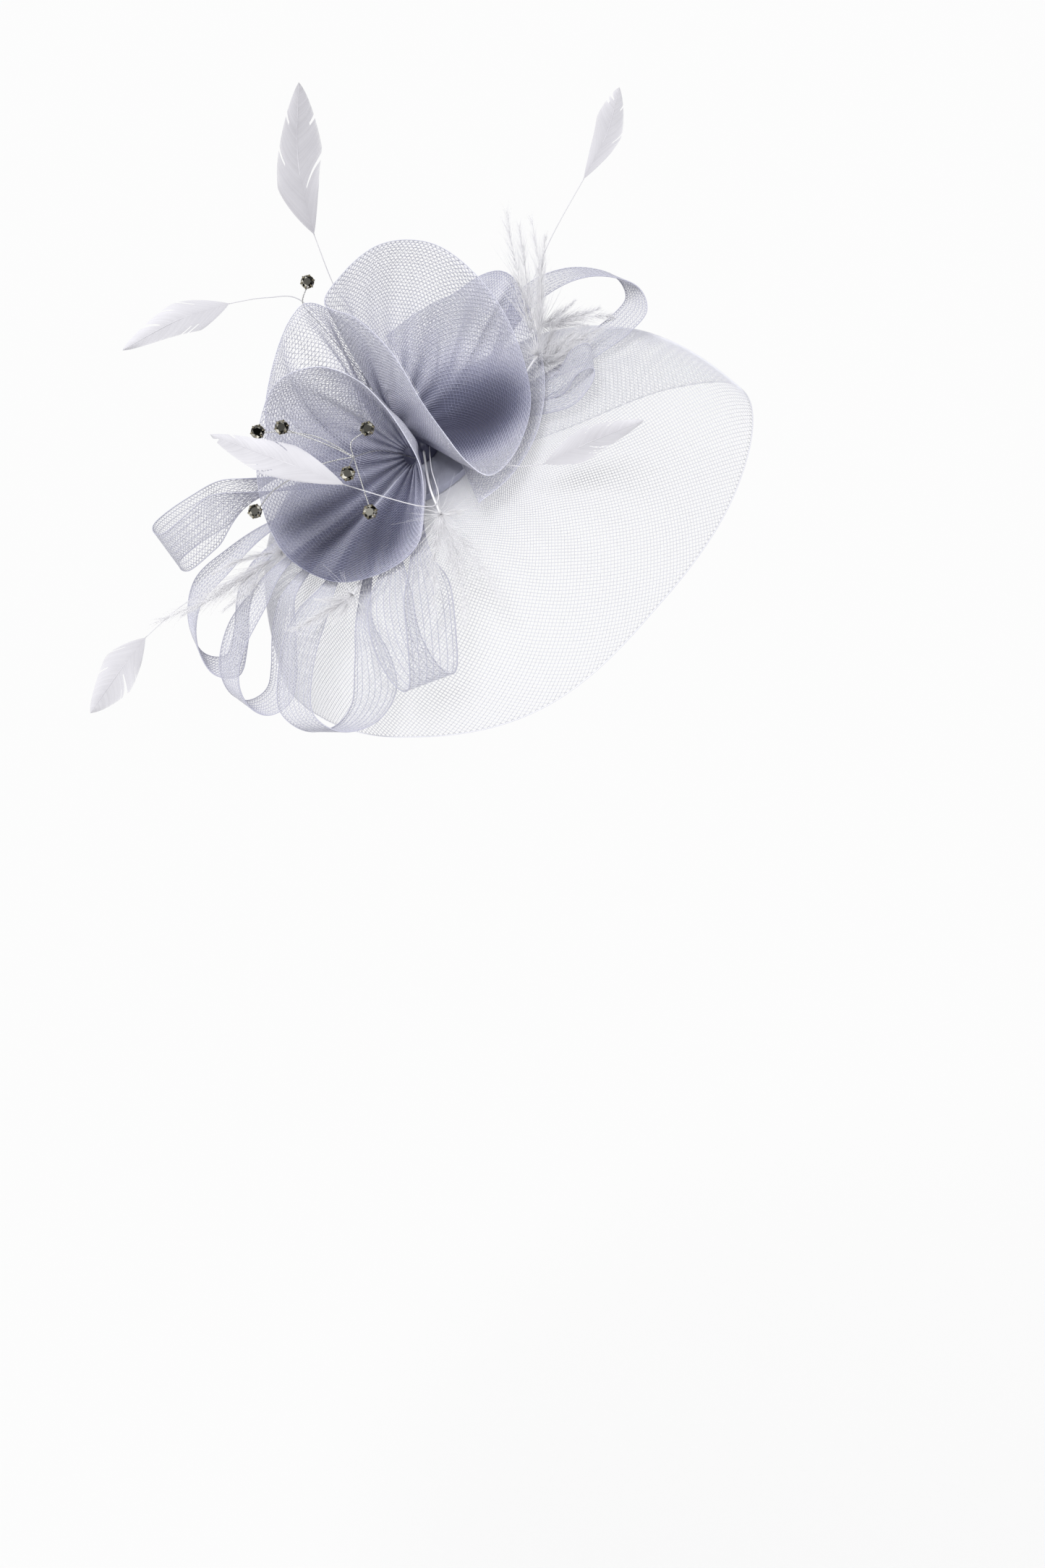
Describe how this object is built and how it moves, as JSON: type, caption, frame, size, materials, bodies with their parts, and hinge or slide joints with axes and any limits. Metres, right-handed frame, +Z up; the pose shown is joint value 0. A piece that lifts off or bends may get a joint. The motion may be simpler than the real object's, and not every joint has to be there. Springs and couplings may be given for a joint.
{
  "type": "fascinator",
  "caption": "Tilted fascinator: a wide domed open-net crin brim on a felt base, with a flower of crin petals, ribbon loops, feathers and rhinestone wire sprays.",
  "frame": {"origin": "middle of the underside of the felt base, where the hat sits on and is pinned to the head", "axes": "+Z up as worn, the wearer looks along -Y and has the right hand at -X; the base leans 35 degrees towards -X"},
  "size_m": [0.316, 0.2753, 0.3077],
  "materials": {
    "felt": "matte wool felt",
    "comb_plastic": "clear-looking glossy plastic",
    "crin": "fine woven horsehair braid with a soft sheen",
    "net_crin": "open net horsehair braid with a soft sheen",
    "feather": "matte trimmed feather",
    "silver_wire": "polished twisted wire",
    "rhinestone": "cut foiled glass in a silver claw setting"
  },
  "bodies": {
    "root": {"felt_base": "felt", "hair_comb": "comb_plastic", "gather_knot": "crin", "petal_right": "crin", "petal_left": "crin", "petal_front": "crin", "petal_back": "crin", "loop_1": "crin", "loop_2": "crin", "loop_3": "crin", "loop_4": "crin", "loop_5": "crin", "loop_6": "crin", "loop_7": "crin", "crin_brim": "net_crin", "quill_1": "feather", "quill_2": "feather", "quill_3": "feather", "quill_4": "feather", "quill_5": "feather", "quill_6": "feather", "plume_1": "feather", "plume_2": "feather", "plume_3": "feather", "plume_4": "feather", "plume_5": "feather", "plume_6": "feather", "spray_wires_1": "silver_wire", "spray_wires_2": "silver_wire", "stone_1": "rhinestone", "stone_2": "rhinestone", "stone_3": "rhinestone", "stone_4": "rhinestone", "stone_5": "rhinestone", "stone_6": "rhinestone", "stone_7": "rhinestone", "stone_8": "rhinestone"}
  },
  "joints": []
}
